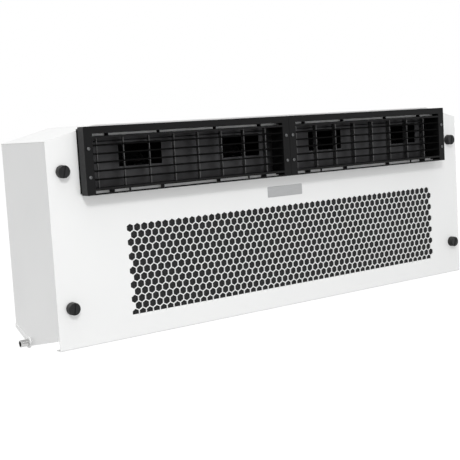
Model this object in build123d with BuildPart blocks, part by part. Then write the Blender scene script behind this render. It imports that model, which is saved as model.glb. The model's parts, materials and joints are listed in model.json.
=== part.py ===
"""In-wall evaporator: a sheet-metal case with a perforated return-air panel, two louvred
vents over four blower outlets, a finned coil over a V-shaped drain pan, and its pipework.

Millimetres. X runs to the right along the front panel, Y runs back into the wall and Z runs
up. The origin is on the back face, at the centre of the four wall bolts.
"""

import os
from math import atan2, cos, radians, sin, sqrt, tan

from build123d import *

os.makedirs("parts", exist_ok=True)

# Case: heights are measured from the front panel's bottom edge, depths from its front face.
panel_width = 989.0
shoulder_height = 346.8
crest_height = 370.0
shoulder_run = 91.6
case_depth = 178.6
case_sheet = 1.2
panel_sheet = 1.6
panel_gap = 0.3
panel_return = 15.0
panel_bend = 2.4
roof_lap = 15.0
rear_flange = 20.0
front_flange = 42.0
flange_play = 1.0

# Wall bolts
bolt_height = 185.0
bolt_spacing_x = 882.0
bolt_spacing_z = 254.0
bolt_hole_radius = 4.5

# Drain pan
pan_lip_height = 17.9
valley_height = -8.0
valley_depth = 121.0
pan_lip_rise = 7.0
pan_strip = 7.5
pan_boss_radius = 10.0
pan_boss_thickness = 2.4
drain_depth = 126.0
drain_height = -2.2
drain_radius = 6.35
drain_wall = 1.2
drain_reach = 16.0
drain_shank_step = 0.4

# Perforated field of the front panel
hex_flats = 12.7
hex_pitch = 14.2875
hex_columns = 53
hex_rows = 13
field_centre_x = 27.1
field_bottom_height = 42.0

# Filter and its two channels
filter_thickness = 9.5
filter_overlap = 17.0
filter_play = 0.3
lower_channel_height = 26.0
lower_lip_height = 39.5
upper_lip_height = 199.5
upper_channel_height = 214.0
channel_rear_lip = 13.0
channel_overrun = 3.0

# Vents
vent_width = 433.0
vent_shift = -5.0
vent_bottom_height = 254.2
vent_top_height = 367.2
vent_projection = 26.7
vent_face = 2.5
vent_skirt = 2.2
vent_seam = 0.3
vent_collar_depth = 7.0
vent_collar_inset = 3.0
vent_collar_side_inset = 0.8
vent_corner = 1.5
stile_width = 16.0
slot_height = 4.2
slot_rim = 2.8
top_bar_height = 12.3
cassette_rail = 3.4
cassette_side = 2.5
cassette_reach = 8.0
cassette_play = 0.5
slot_floor = 1.0
tie_rib_place = 60.0
tie_rib_width = 1.6
tie_rib_front = -12.5
tie_rib_length = 10.0
thin_rib_place = 127.0
thin_rib_width = 2.0
thin_rib_front = -12.0
thin_rib_length = 3.0
web_rib_place = 162.0
web_rib_width = 3.5
web_rib_front = -17.5
web_rib_length = 13.0
upper_rib_front = -8.0
upper_rib_length = 7.5

# Horizontal vanes
vane_count = 5
vane_pitch = 14.15
vane_mid_height = 307.4
vane_chord = 12.4
vane_thickness = 2.0
vane_axis_depth = -19.5
vane_pin_radius = 1.5
vane_end_play = 0.6

# Vertical blades and their tie bars
blade_count = 8
blade_pitch = 51.0
blade_chord = 24.0
blade_thickness = 1.8
blade_axis_depth = 3.0
blade_rest_angle = -25.0
blade_pin_radius = 1.7
blade_end_play = 0.5
crank_radius = 9.0
crank_pin_radius = 1.2
tie_bar_width = 4.4
tie_bar_thickness = 2.0
tie_bar_drop = 6.0
tie_bar_play = 0.4
tie_notch_reach = 4.0
pivot_play = 0.08

# Vent screws
screw_radius = 2.0
screw_head_radius = 2.9
screw_head_height = 1.9
screw_head_round = 1.1
screw_tip_depth = 6.0
screw_spread = 47.0
screw_boss_radius = 4.2
screw_play = 0.15

# Quarter-turn thumbscrews and their receptacles
knob_radius = 10.6
knob_height = 12.0
knob_edge_inset = 26.0
knob_lower_height = 69.6
knob_upper_height = 296.5
knob_flutes = 20
knob_flute_radius = 1.1
knob_slot_width = 2.2
knob_slot_depth = 1.8
knob_seat_gap = 0.3
stud_radius = 3.75
stud_reach = 14.0
stud_collar_radius = 5.5
stud_collar_thickness = 1.0
receptacle_hole_radius = 7.0
receptacle_base_radius = 12.0
receptacle_barrel_radius = 7.5
receptacle_length = 12.0
stud_play = 0.35

# Nameplate
nameplate_width = 85.0
nameplate_height = 20.3
nameplate_thickness = 0.8
nameplate_corner = 1.5
nameplate_x = -1.5
nameplate_mid_height = 224.8

# Blower deck
deck_depth = 30.0
deck_bottom_height = 254.0
deck_half_width = 437.0
shelf_height = 237.4
shelf_margin = 14.0

# Blowers
blower_spread = 434.0
outlet_spread = 220.0
outlet_width = 88.0
blower_axis_depth = 110.0
blower_axis_height = 287.0
scroll_wall = 1.8
scroll_end_radius = 52.0
scroll_flange = 5.0
cutoff_angle = 11.0
inlet_radius = 26.0
wheel_radius = 32.0
wheel_gap = 3.2
wheel_width = 76.0
wheel_blades = 28
wheel_blade_depth = 5.0
wheel_blade_thickness = 1.2
wheel_ring = 2.5
wheel_hub_radius = 9.0
wheel_hub_length = 16.0
shaft_radius = 4.0
shaft_play = 0.05
shaft_overhang = 24.0
motor_radius = 30.0
motor_length = 90.0
motor_boss_radius = 9.0
motor_boss_length = 4.0
cradle_width = 30.0
cradle_thickness = 1.6
cradle_foot = 50.0
cradle_drop = 12.0

# Coil
coil_front_depth = 46.0
coil_bottom_height = 33.0
coil_side_margin = 6.0
tube_radius = 4.7625
tube_row_pitch = 25.4
tube_column_pitch = 22.0
tube_rows = 8
tube_columns = 3
tube_play = 0.1
end_plate = 1.5
end_plate_margin = 5.0
left_tube_reach = 12.0
right_tube_reach = 2.0

# Refrigerant pipework
valve_offset = 44.0
header_radius = 11.1
header_x_gap = 42.0
header_cap = 11.0
suction_radius = 7.94
suction_height = 98.0
liquid_radius = 4.7625
line_reach = 25.0
spigot_length = 19.0
spigot_step = 1.6
distributor_radius = 11.0
distributor_length = 16.0
feeder_radius = 2.4
feeder_bend = 6.5
feeder_exit_pitch = 5.4
outer_feeder_run = 10.0
inner_feeder_run = 24.0
valve_width = 34.0
valve_height = 44.0
valve_corner = 3.0
valve_head_radius = 19.0
valve_head_height = 12.0
valve_head_round = 5.4
valve_neck_radius = 7.0
valve_neck_height = 5.0

# Grommets and terminal block
grommet_lip = 2.6
grommet_side = 1.5
suction_hole_radius = 12.0
liquid_hole_radius = 8.5
cable_hole_radius = 10.0
cable_bore_radius = 6.5
cable_x = 440.0
cable_height = 150.0
grommet_play = 0.06
terminal_length = 62.0
terminal_height = 22.0
terminal_thickness = 12.0
terminal_corner = 2.0
terminal_depth = 80.0
terminal_mid_height = 205.0
terminal_posts = 6
terminal_pitch = 9.5
terminal_post_radius = 3.0
terminal_post_height = 2.4

# Values that several pieces share
half_width = panel_width / 2
case_front = panel_sheet + panel_gap
case_back = case_depth - case_sheet
roof_angle = atan2(crest_height - shoulder_height, shoulder_run)
hex_row_pitch = hex_pitch * sqrt(3) / 2
field_half_width = (hex_columns + 0.5) * hex_pitch / 2
window_half = vent_width / 2 - stile_width
window_bottom = vent_bottom_height + slot_rim
window_top = vent_top_height - top_bar_height
rail_bottom = window_bottom + slot_height
rail_top = window_top - slot_height
blade_bottom = rail_bottom + cassette_rail + blade_end_play
blade_top = rail_top - cassette_rail - blade_end_play
cassette_half = window_half + cassette_side
vent_centres = {"left": vent_shift - vent_width / 2, "right": vent_shift + vent_width / 2}
blower_centres = {
    "left": field_centre_x - blower_spread / 2,
    "right": field_centre_x + blower_spread / 2,
}
knob_x = half_width - knob_edge_inset
scroll_start_radius = wheel_radius + wheel_gap + scroll_wall
coil_left = field_centre_x - field_half_width - coil_side_margin
coil_right = field_centre_x + field_half_width + coil_side_margin
coil_height = tube_rows * tube_row_pitch
coil_depth = tube_columns * tube_column_pitch
header_x = coil_left - left_tube_reach - header_x_gap
header_depth = coil_front_depth + coil_depth - tube_column_pitch / 2
feeder_depth = coil_front_depth + tube_column_pitch / 2


def back(depth):
    """Y of a point this far behind the panel's front face."""
    return depth - case_depth


def up(height):
    """Z of a point this far above the panel's bottom edge."""
    return height - bolt_height


def frontal(depth):
    """Sketch plane at a depth: its x is X, its y is Z, and it faces the room."""
    return Plane.XZ.offset(-back(depth))


def level(height):
    """Horizontal sketch plane at a height."""
    return Plane.XY.offset(up(height))


def keep(piece, node):
    """Label a finished piece and write its STEP file."""
    piece.part.label = node
    export_step(piece.part, f"parts/{node}.step")


def pan_height(depth):
    """Height of the pan's underside at a depth."""
    if depth < valley_depth:
        share = (valley_depth - depth) / (valley_depth - case_front)
    else:
        share = (depth - valley_depth) / (case_depth - valley_depth)
    return valley_height + share * (pan_lip_height - valley_height)


def roof_height(x, inset):
    """Height of the roof line at x, once it is moved in by inset."""
    slope = shoulder_height + (half_width - abs(x)) * tan(roof_angle) - inset / cos(roof_angle)
    return min(slope, crest_height - inset)


def crest_x(inset):
    """X of the corner between the flat roof and its right shoulder, moved in by inset."""
    rise = crest_height - shoulder_height - inset + inset / cos(roof_angle)
    return half_width - rise / tan(roof_angle)


def roof_points(inset, reach):
    """Roof line from x = reach over to x = -reach, moved in by inset."""
    corner = crest_x(inset)
    edge = roof_height(reach, inset)
    crest = crest_height - inset
    return [(reach, up(edge)), (corner, up(crest)), (-corner, up(crest)), (-reach, up(edge))]


def tube_height(row):
    """Height of a row of coil tubes, counted from the bottom."""
    return coil_bottom_height + (row + 0.5) * tube_row_pitch


def tube_depth(column):
    """Depth of a column of coil tubes, counted from the front."""
    return coil_front_depth + (column + 0.5) * tube_column_pitch


# Back panel, with the wall bolt holes and the three grommet holes
line_x = header_x - valve_offset
line_height = (tube_height(3) + tube_height(4)) / 2
with BuildPart() as back_panel:
    with BuildSketch(frontal(case_back)):
        with BuildLine():
            floor = up(pan_height(case_depth) + case_sheet)
            roof = roof_points(0, half_width)
            Polyline((-half_width, floor), (half_width, floor), *roof, close=True)
        make_face()
        with GridLocations(bolt_spacing_x, bolt_spacing_z, 2, 2):
            Circle(bolt_hole_radius, mode=Mode.SUBTRACT)
        with Locations((header_x, up(suction_height))):
            Circle(suction_hole_radius, mode=Mode.SUBTRACT)
        with Locations((line_x, up(line_height))):
            Circle(liquid_hole_radius, mode=Mode.SUBTRACT)
        with Locations((cable_x, up(cable_height))):
            Circle(cable_hole_radius, mode=Mode.SUBTRACT)
    extrude(amount=-case_sheet)
keep(back_panel, "back_panel")


# End panels: a plate with a wide front flange for the thumbscrews and a rear flange
def make_end_panel(node, side):
    """One end panel, on the left for side -1 and on the right for side 1."""
    outer = side * half_width
    flange_top = shoulder_height - roof_lap - flange_play
    with BuildPart() as panel:
        with BuildSketch(Plane.YZ.offset(outer)):
            with BuildLine():
                top = up(roof_height(half_width, case_sheet))
                Polyline(
                    (back(case_front), up(pan_height(case_front) + case_sheet)),
                    (back(valley_depth), up(valley_height + case_sheet)),
                    (back(case_back), up(pan_height(case_back) + case_sheet)),
                    (back(case_back), top),
                    (back(case_front), top),
                    close=True,
                )
            make_face()
        extrude(amount=-side * case_sheet)
        with BuildSketch(frontal(case_front)):
            flange_floor = pan_height(case_front) + case_sheet
            with Locations((outer - side * front_flange / 2, up((flange_top + flange_floor) / 2))):
                Rectangle(front_flange, flange_top - flange_floor)
            for height in (knob_lower_height, knob_upper_height):
                with Locations((side * knob_x, up(height))):
                    Circle(receptacle_hole_radius, mode=Mode.SUBTRACT)
        extrude(amount=-case_sheet)
        with BuildSketch(frontal(case_back - case_sheet)):
            flange_floor = pan_height(case_back) + case_sheet
            with Locations((outer - side * rear_flange / 2, up((flange_top + flange_floor) / 2))):
                Rectangle(rear_flange, flange_top - flange_floor)
        extrude(amount=-case_sheet)
        if side < 0:
            with BuildSketch(Plane.YZ.offset(outer)):
                with Locations((back(drain_depth), up(drain_height))):
                    Circle(drain_radius - drain_wall)
            extrude(amount=2 * case_sheet, both=True, mode=Mode.SUBTRACT)
    keep(panel, node)


make_end_panel("left_end_panel", -1)
make_end_panel("right_end_panel", 1)

# Top cover: flat roof and two sloping shoulders, lapped inside the end panels
with BuildPart() as top_cover:
    with BuildSketch(frontal(case_front)):
        lap_outer = half_width - case_sheet
        lap_inner = half_width - 2 * case_sheet
        lap_foot = up(shoulder_height - roof_lap)
        outside = roof_points(0, half_width)
        inside = roof_points(case_sheet, lap_inner)
        seat = up(roof_height(half_width, case_sheet))
        lap_corner = up(roof_height(lap_outer, case_sheet))
        with BuildLine():
            Polyline(
                *outside,
                (-half_width, seat),
                (-lap_outer, lap_corner),
                (-lap_outer, lap_foot),
                (-lap_inner, lap_foot),
                *reversed(inside),
                (lap_inner, lap_foot),
                (lap_outer, lap_foot),
                (lap_outer, lap_corner),
                (half_width, seat),
                close=True,
            )
        make_face()
    extrude(amount=-(case_back - case_front))
keep(top_cover, "top_cover")

# Drain pan: a V-shaped floor with end strips outside the end panels, low lips front and back and
# a boss on the left strip for the drain tube
with BuildPart() as drain_pan:
    with BuildSketch(Plane.YZ.offset(-half_width)):
        with BuildLine():
            Polyline(
                (back(case_front), up(pan_lip_height)),
                (back(valley_depth), up(valley_height)),
                (back(case_depth), up(pan_lip_height)),
                (back(case_depth), up(pan_lip_height + case_sheet)),
                (back(valley_depth), up(valley_height + case_sheet)),
                (back(case_front), up(pan_lip_height + case_sheet)),
                close=True,
            )
        make_face()
    extrude(amount=panel_width)
    for side in (-1, 1):
        with BuildSketch(Plane.YZ.offset(side * half_width)):
            with BuildLine():
                Polyline(
                    (back(case_front), up(pan_lip_height)),
                    (back(valley_depth), up(valley_height)),
                    (back(case_depth), up(pan_lip_height)),
                    (back(case_depth), up(pan_lip_height + pan_strip)),
                    (back(valley_depth), up(valley_height + pan_strip)),
                    (back(case_front), up(pan_lip_height + pan_strip)),
                    close=True,
                )
            make_face()
        extrude(amount=side * case_sheet)
    with BuildSketch(Plane.YZ.offset(-half_width)):
        with Locations((back(drain_depth), up(drain_height))):
            Circle(pan_boss_radius)
    extrude(amount=-pan_boss_thickness)
    with BuildSketch(Plane.YZ.offset(-half_width)):
        with Locations((back(drain_depth), up(drain_height))):
            Circle(drain_radius - drain_shank_step)
    extrude(amount=-pan_boss_thickness, mode=Mode.SUBTRACT)
    lips = (
        (case_front, half_width - front_flange - flange_play),
        (case_back - case_sheet, half_width - rear_flange - flange_play),
    )
    for depth, reach in lips:
        with BuildSketch(frontal(depth)):
            foot = min(pan_height(depth), pan_height(depth + case_sheet)) + case_sheet / 2
            lip_top = pan_lip_height + pan_lip_rise
            with Locations((0, up((foot + lip_top) / 2))):
                Rectangle(2 * reach, lip_top - foot)
        extrude(amount=-case_sheet)
keep(drain_pan, "drain_pan")

# Drain tube: a short stub whose shank is turned down and brazed into the pan's boss
with BuildPart() as drain_tube:
    with BuildSketch(Plane.YZ.offset(-half_width)):
        with Locations((back(drain_depth), up(drain_height))):
            Circle(drain_radius - drain_shank_step)
    extrude(amount=-pan_boss_thickness)
    with BuildSketch(Plane.YZ.offset(-half_width - pan_boss_thickness)):
        with Locations((back(drain_depth), up(drain_height))):
            Circle(drain_radius)
    extrude(amount=-(case_sheet + drain_reach - pan_boss_thickness))
    with BuildSketch(Plane.YZ.offset(-half_width)):
        with Locations((back(drain_depth), up(drain_height))):
            Circle(drain_radius - drain_wall)
    extrude(amount=-(case_sheet + drain_reach), mode=Mode.SUBTRACT)
keep(drain_tube, "drain_tube")

# Front panel: return-air perforations, two vent cut-outs and a bent bottom return. Its face is
# drawn with all of its openings at once, because cutting so many one by one is slow.
def opening(shape, x, height):
    """Outline of an opening, moved to its place on the panel."""
    return Pos(x, up(height)) * shape.wire()


hexagon = RegularPolygon(hex_flats / 2, 6, major_radius=False, rotation=30)
cut_out = Rectangle(
    2 * (cassette_half + cassette_play), rail_top - rail_bottom + 2 * cassette_play
)
stud_hole = Circle(stud_radius + stud_play)
screw_hole = Circle(screw_radius + screw_play)
screw_x = window_half + stile_width / 2
openings = []
for row in range(hex_rows):
    shift = hex_pitch / 4 if row % 2 else -hex_pitch / 4
    for column in range(hex_columns):
        x = field_centre_x + shift + (column - (hex_columns - 1) / 2) * hex_pitch
        openings.append(opening(hexagon, x, field_bottom_height + row * hex_row_pitch))
for centre in vent_centres.values():
    openings.append(opening(cut_out, centre, (rail_bottom + rail_top) / 2))
    for x in (centre - screw_x, centre + screw_x):
        for height in (vane_mid_height - screw_spread / 2, vane_mid_height + screw_spread / 2):
            openings.append(opening(screw_hole, x, height))
for x in (-knob_x, knob_x):
    for height in (knob_lower_height, knob_upper_height):
        openings.append(opening(stud_hole, x, height))

with BuildPart() as front_panel:
    with BuildSketch(frontal(0)):
        with BuildLine() as edge:
            roof = roof_points(0, half_width)
            foot = up(panel_bend)
            Polyline((-half_width, foot), (half_width, foot), *roof, close=True)
        add(Face(edge.wire(), openings))
    extrude(amount=-panel_sheet)
    with BuildSketch(Plane.YZ.offset(-half_width)):
        with BuildLine():
            outer = back(0)
            inner = back(panel_sheet)
            Line((inner, foot), (outer, foot))
            RadiusArc((outer, foot), (outer + panel_bend, up(0)), -panel_bend)
            Polyline(
                (outer + panel_bend, up(0)),
                (back(panel_return), up(0)),
                (back(panel_return), up(panel_sheet)),
                (outer + panel_bend, up(panel_sheet)),
            )
            RadiusArc(
                (outer + panel_bend, up(panel_sheet)), (inner, foot), panel_bend - panel_sheet
            )
        make_face()
    extrude(amount=panel_width, clean=False)
keep(front_panel, "front_panel")

# Nameplate, left bare
with BuildPart() as nameplate:
    with BuildSketch(frontal(0)):
        with Locations((nameplate_x, up(nameplate_mid_height))):
            RectangleRounded(nameplate_width, nameplate_height, nameplate_corner)
    extrude(amount=nameplate_thickness)
keep(nameplate, "nameplate")

# Filter channels behind the panel, above and below the perforated field
channel_half = field_half_width + filter_overlap + channel_overrun
slot_depth = filter_thickness + 2 * filter_play
with BuildPart() as filter_channels:
    rear_lip_depth = panel_sheet + case_sheet + slot_depth
    for web, front_end, away in (
        (lower_channel_height, lower_lip_height, 1),
        (upper_channel_height, upper_lip_height, -1),
    ):
        with BuildSketch(Plane.YZ.offset(field_centre_x - channel_half)):
            with BuildLine():
                front = back(panel_sheet)
                rear = back(rear_lip_depth + case_sheet)
                inner = web + away * case_sheet
                Polyline(
                    (front, up(web)),
                    (rear, up(web)),
                    (rear, up(web + away * channel_rear_lip)),
                    (rear - case_sheet, up(web + away * channel_rear_lip)),
                    (rear - case_sheet, up(inner)),
                    (front + case_sheet, up(inner)),
                    (front + case_sheet, up(front_end)),
                    (front, up(front_end)),
                    close=True,
                )
            make_face()
        extrude(amount=2 * channel_half)
keep(filter_channels, "filter_channels")

# Filter media, a flat pad held between the channels
with BuildPart() as filter_media:
    with BuildSketch(frontal(panel_sheet + case_sheet + filter_play)):
        pad_bottom = lower_channel_height + case_sheet
        pad_top = upper_channel_height - case_sheet
        with Locations((field_centre_x, up((pad_bottom + pad_top) / 2))):
            Rectangle(2 * (field_half_width + filter_overlap), pad_top - pad_bottom)
    extrude(amount=-filter_thickness)
keep(filter_media, "filter_media")


# Vent bezels, both the same moulding: an outer frame open below behind its lower slot, an inner
# cassette for the vanes and blades, ribs across both slots and four screw bosses. One is drawn
# about X = 0 and placed twice.
outer_half = vent_width / 2 - vent_seam
vent_mid = (vent_bottom_height + vent_top_height) / 2
vent_tall = vent_top_height - vent_bottom_height
rail_mid = (rail_bottom + rail_top) / 2
rail_tall = rail_top - rail_bottom
window_mid = (window_bottom + window_top) / 2
skirt_depth = vent_projection - vent_collar_depth
collar_wall = vent_collar_inset + vent_skirt
collar_side_wall = vent_collar_side_inset + vent_skirt
lower_ribs = (
    (tie_rib_place, tie_rib_width, tie_rib_front, tie_rib_length),
    (thin_rib_place, thin_rib_width, thin_rib_front, thin_rib_length),
    (web_rib_place, web_rib_width, web_rib_front, web_rib_length),
)
with BuildPart() as bezel:
    with BuildSketch(frontal(-vent_projection)):
        with Locations((0, up(vent_mid))):
            Rectangle(2 * outer_half, vent_tall)
    extrude(amount=-skirt_depth)
    with BuildSketch(frontal(-vent_collar_depth)):
        with Locations((0, up(vent_mid))):
            Rectangle(2 * (outer_half - vent_collar_side_inset), vent_tall - 2 * vent_collar_inset)
    extrude(amount=-vent_collar_depth)
    rounded = bezel.edges().filter_by(Axis.Y).group_by(SortBy.LENGTH)[-1]
    fillet(rounded, vent_corner)
    with BuildSketch(frontal(-vent_projection + vent_face)):
        with Locations((0, up(vent_mid))):
            Rectangle(2 * (outer_half - collar_side_wall), vent_tall - 2 * collar_wall)
    extrude(amount=-(vent_projection - vent_face), mode=Mode.SUBTRACT)
    with BuildSketch(frontal(-vent_projection + vent_face)):
        with Locations((0, up(vent_mid))):
            Rectangle(2 * (outer_half - vent_skirt), vent_tall - 2 * vent_skirt)
    extrude(amount=-(skirt_depth - vent_face - vent_skirt), mode=Mode.SUBTRACT)
    with BuildSketch(frontal(-vent_projection)):
        with Locations((0, up(window_mid))):
            Rectangle(2 * window_half, window_top - window_bottom)
    extrude(amount=-vent_face, mode=Mode.SUBTRACT)
    with BuildSketch(frontal(-vent_projection + vent_face)):
        slot_foot = vent_bottom_height + slot_floor
        with Locations((0, up((slot_foot + rail_bottom) / 2))):
            Rectangle(2 * window_half, rail_bottom - slot_foot)
    extrude(amount=-(vent_projection - vent_face), mode=Mode.SUBTRACT)
    with BuildSketch(frontal(-vent_projection)):
        with Locations((0, up(rail_mid))):
            Rectangle(2 * cassette_half, rail_tall)
            Rectangle(2 * window_half, rail_tall - 2 * cassette_rail, mode=Mode.SUBTRACT)
    extrude(amount=-(vent_projection + cassette_reach))
    for place, width, front, length in lower_ribs:
        with BuildSketch(frontal(front)):
            with Locations((0, up((vent_bottom_height + rail_bottom) / 2))):
                with GridLocations(2 * place, 1, 2, 1):
                    Rectangle(width, rail_bottom - vent_bottom_height)
        extrude(amount=-length)
    with BuildSketch(frontal(upper_rib_front)):
        rib_top = vent_top_height - vent_collar_inset - vent_skirt / 2
        for place, width in ((tie_rib_place, tie_rib_width), (web_rib_place, web_rib_width)):
            with Locations((0, up((rail_top + rib_top) / 2))):
                with GridLocations(2 * place, 1, 2, 1):
                    Rectangle(width, rib_top - rail_top)
    extrude(amount=-upper_rib_length)
    with BuildSketch(frontal(-vent_projection + vent_face)):
        with Locations((0, up(vane_mid_height))):
            with GridLocations(2 * screw_x, screw_spread, 2, 2):
                Circle(screw_boss_radius)
    extrude(amount=-(vent_projection - vent_face))
    with BuildSketch(frontal(-vent_projection)):
        with Locations((0, up(vane_mid_height))):
            with GridLocations(2 * screw_x, screw_spread, 2, 2):
                Circle(screw_radius + screw_play)
    extrude(amount=-vent_projection, mode=Mode.SUBTRACT)
    with BuildSketch(Plane.YZ):
        with Locations((back(vane_axis_depth), up(vane_mid_height))):
            with GridLocations(1, vane_pitch, 1, vane_count):
                Circle(vane_pin_radius + pivot_play)
    extrude(amount=cassette_half, both=True, mode=Mode.SUBTRACT)
    with BuildSketch(level(rail_bottom)):
        with Locations((0, back(blade_axis_depth))):
            with GridLocations(blade_pitch, 1, blade_count, 1):
                Circle(blade_pin_radius + pivot_play)
    extrude(amount=rail_tall, mode=Mode.SUBTRACT)
with BuildPart() as vent_bezels:
    with Locations([(centre, 0, 0) for centre in vent_centres.values()]):
        add(bezel.part)
keep(vent_bezels, "vent_bezels")

# Screws that hold the bezels to the panel
with BuildPart() as vent_screws:
    for centre in vent_centres.values():
        with BuildSketch(frontal(-vent_projection)):
            with Locations((centre, up(vane_mid_height))):
                with GridLocations(2 * screw_x, screw_spread, 2, 2):
                    Circle(screw_radius)
        extrude(amount=-(vent_projection + screw_tip_depth))
        with BuildSketch(frontal(-vent_projection)):
            with Locations((centre, up(vane_mid_height))):
                with GridLocations(2 * screw_x, screw_spread, 2, 2):
                    Circle(screw_head_radius)
        extrude(amount=screw_head_height)
    rims = vent_screws.edges().filter_by(GeomType.CIRCLE).group_by(Axis.Y)[0]
    fillet(rims, screw_head_round)
keep(vent_screws, "vent_screws")


# Horizontal vanes, each turning on its own two pins
def make_vane(node, centre, height):
    """One vane with a pin at each end."""
    vane_half = window_half - vane_end_play
    with BuildPart() as vane:
        with BuildSketch(Plane.YZ.offset(centre - vane_half)):
            with Locations((back(vane_axis_depth), up(height))):
                SlotOverall(vane_chord, vane_thickness)
        extrude(amount=2 * vane_half)
        with BuildSketch(Plane.YZ.offset(centre - cassette_half + vane_end_play)):
            with Locations((back(vane_axis_depth), up(height))):
                Circle(vane_pin_radius)
        extrude(amount=2 * (cassette_half - vane_end_play))
    keep(vane, node)


for side, centre in vent_centres.items():
    for number in range(vane_count):
        height = vane_mid_height + (number - (vane_count - 1) / 2) * vane_pitch
        make_vane(f"vane_{side}_{number + 1}", centre, height)


# Vertical blades behind the vanes, each with a notch and crank pin for the tie bar
tie_height = blade_top - tie_bar_drop
notch_height = tie_bar_thickness + 2 * tie_bar_play


def make_blade(node, x):
    """One blade, turned to its rest angle about its pivot."""
    pivot = Plane(
        origin=(x, back(blade_axis_depth), up(blade_bottom)),
        x_dir=(-sin(radians(blade_rest_angle)), cos(radians(blade_rest_angle)), 0),
        z_dir=(0, 0, 1),
    )
    notch_floor = tie_height - tie_bar_play - blade_bottom
    with BuildPart() as blade:
        with BuildSketch(pivot):
            SlotOverall(blade_chord, blade_thickness)
        extrude(amount=blade_top - blade_bottom)
        with BuildSketch(pivot.offset(notch_floor)):
            notch_start = crank_radius - tie_notch_reach
            with Locations((notch_start + blade_chord / 2, 0)):
                Rectangle(blade_chord, 2 * blade_thickness)
        extrude(amount=notch_height, mode=Mode.SUBTRACT)
        with BuildSketch(pivot.offset(notch_floor - 1)):
            with Locations((crank_radius, 0)):
                Circle(crank_pin_radius)
        extrude(amount=notch_height + 2)
        with BuildSketch(pivot.offset(rail_bottom + blade_end_play - blade_bottom)):
            Circle(blade_pin_radius)
        extrude(amount=blade_bottom - rail_bottom + 1)
        with BuildSketch(pivot.offset(blade_top - blade_bottom - 1)):
            Circle(blade_pin_radius)
        extrude(amount=rail_top - blade_top - blade_end_play + 1)
    keep(blade, node)


def crank_offset():
    """Sideways and backward reach of a crank pin from its blade's pivot, at rest."""
    angle = radians(blade_rest_angle)
    return -crank_radius * sin(angle), crank_radius * cos(angle)


for side, centre in vent_centres.items():
    for number in range(blade_count):
        x = centre + (number - (blade_count - 1) / 2) * blade_pitch
        make_blade(f"blade_{side}_{number + 1}", x)

for side, centre in vent_centres.items():
    sideways, backward = crank_offset()
    with BuildPart() as tie_bar:
        with BuildSketch(level(tie_height)):
            with Locations((centre + sideways, back(blade_axis_depth) + backward)):
                SlotCenterToCenter((blade_count - 1) * blade_pitch + tie_bar_width, tie_bar_width)
                with GridLocations(blade_pitch, 1, blade_count, 1):
                    Circle(crank_pin_radius + pivot_play, mode=Mode.SUBTRACT)
        extrude(amount=tie_bar_thickness)
    keep(tie_bar, f"tie_bar_{side}")


# Quarter-turn thumbscrews: a fluted, slotted knob on a stud with a retaining collar
def make_thumbscrew(node, x, height, slot_angle):
    """One thumbscrew, its slot turned slot_angle clockwise from upright."""
    with BuildPart() as thumbscrew:
        with BuildSketch(frontal(-knob_seat_gap)):
            with Locations((x, up(height))):
                Circle(knob_radius)
                with PolarLocations(knob_radius, knob_flutes):
                    Circle(knob_flute_radius, mode=Mode.SUBTRACT)
        extrude(amount=knob_height)
        with BuildSketch(frontal(-knob_seat_gap - knob_height)):
            with Locations((x, up(height))):
                Rectangle(
                    knob_slot_width, 2 * knob_radius + 2, rotation=-slot_angle, mode=Mode.ADD
                )
        extrude(amount=-knob_slot_depth, mode=Mode.SUBTRACT)
        with BuildSketch(frontal(-knob_seat_gap)):
            with Locations((x, up(height))):
                Circle(stud_radius)
        extrude(amount=-(stud_reach + knob_seat_gap))
        with BuildSketch(frontal(case_front)):
            with Locations((x, up(height))):
                Circle(stud_collar_radius)
        extrude(amount=-stud_collar_thickness)
    keep(thumbscrew, node)


knob_places = {
    "upper_left": (-knob_x, knob_upper_height, 15),
    "lower_left": (-knob_x, knob_lower_height, 8),
    "upper_right": (knob_x, knob_upper_height, 12),
    "lower_right": (knob_x, knob_lower_height, 20),
}
for place, (x, height, slot_angle) in knob_places.items():
    make_thumbscrew(f"thumbscrew_{place}", x, height, slot_angle)

# Receptacles behind the end panels' front flanges
with BuildPart() as receptacles:
    for x, height, slot_angle in knob_places.values():
        flange_rear = case_front + case_sheet
        with BuildSketch(frontal(flange_rear)):
            with Locations((x, up(height))):
                Circle(receptacle_base_radius)
                Circle(stud_radius + stud_play, mode=Mode.SUBTRACT)
        extrude(amount=-case_sheet)
        with BuildSketch(frontal(flange_rear)):
            with Locations((x, up(height))):
                Circle(receptacle_barrel_radius)
                Circle(stud_radius + stud_play, mode=Mode.SUBTRACT)
        extrude(amount=-receptacle_length)
keep(receptacles, "panel_receptacles")

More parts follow.
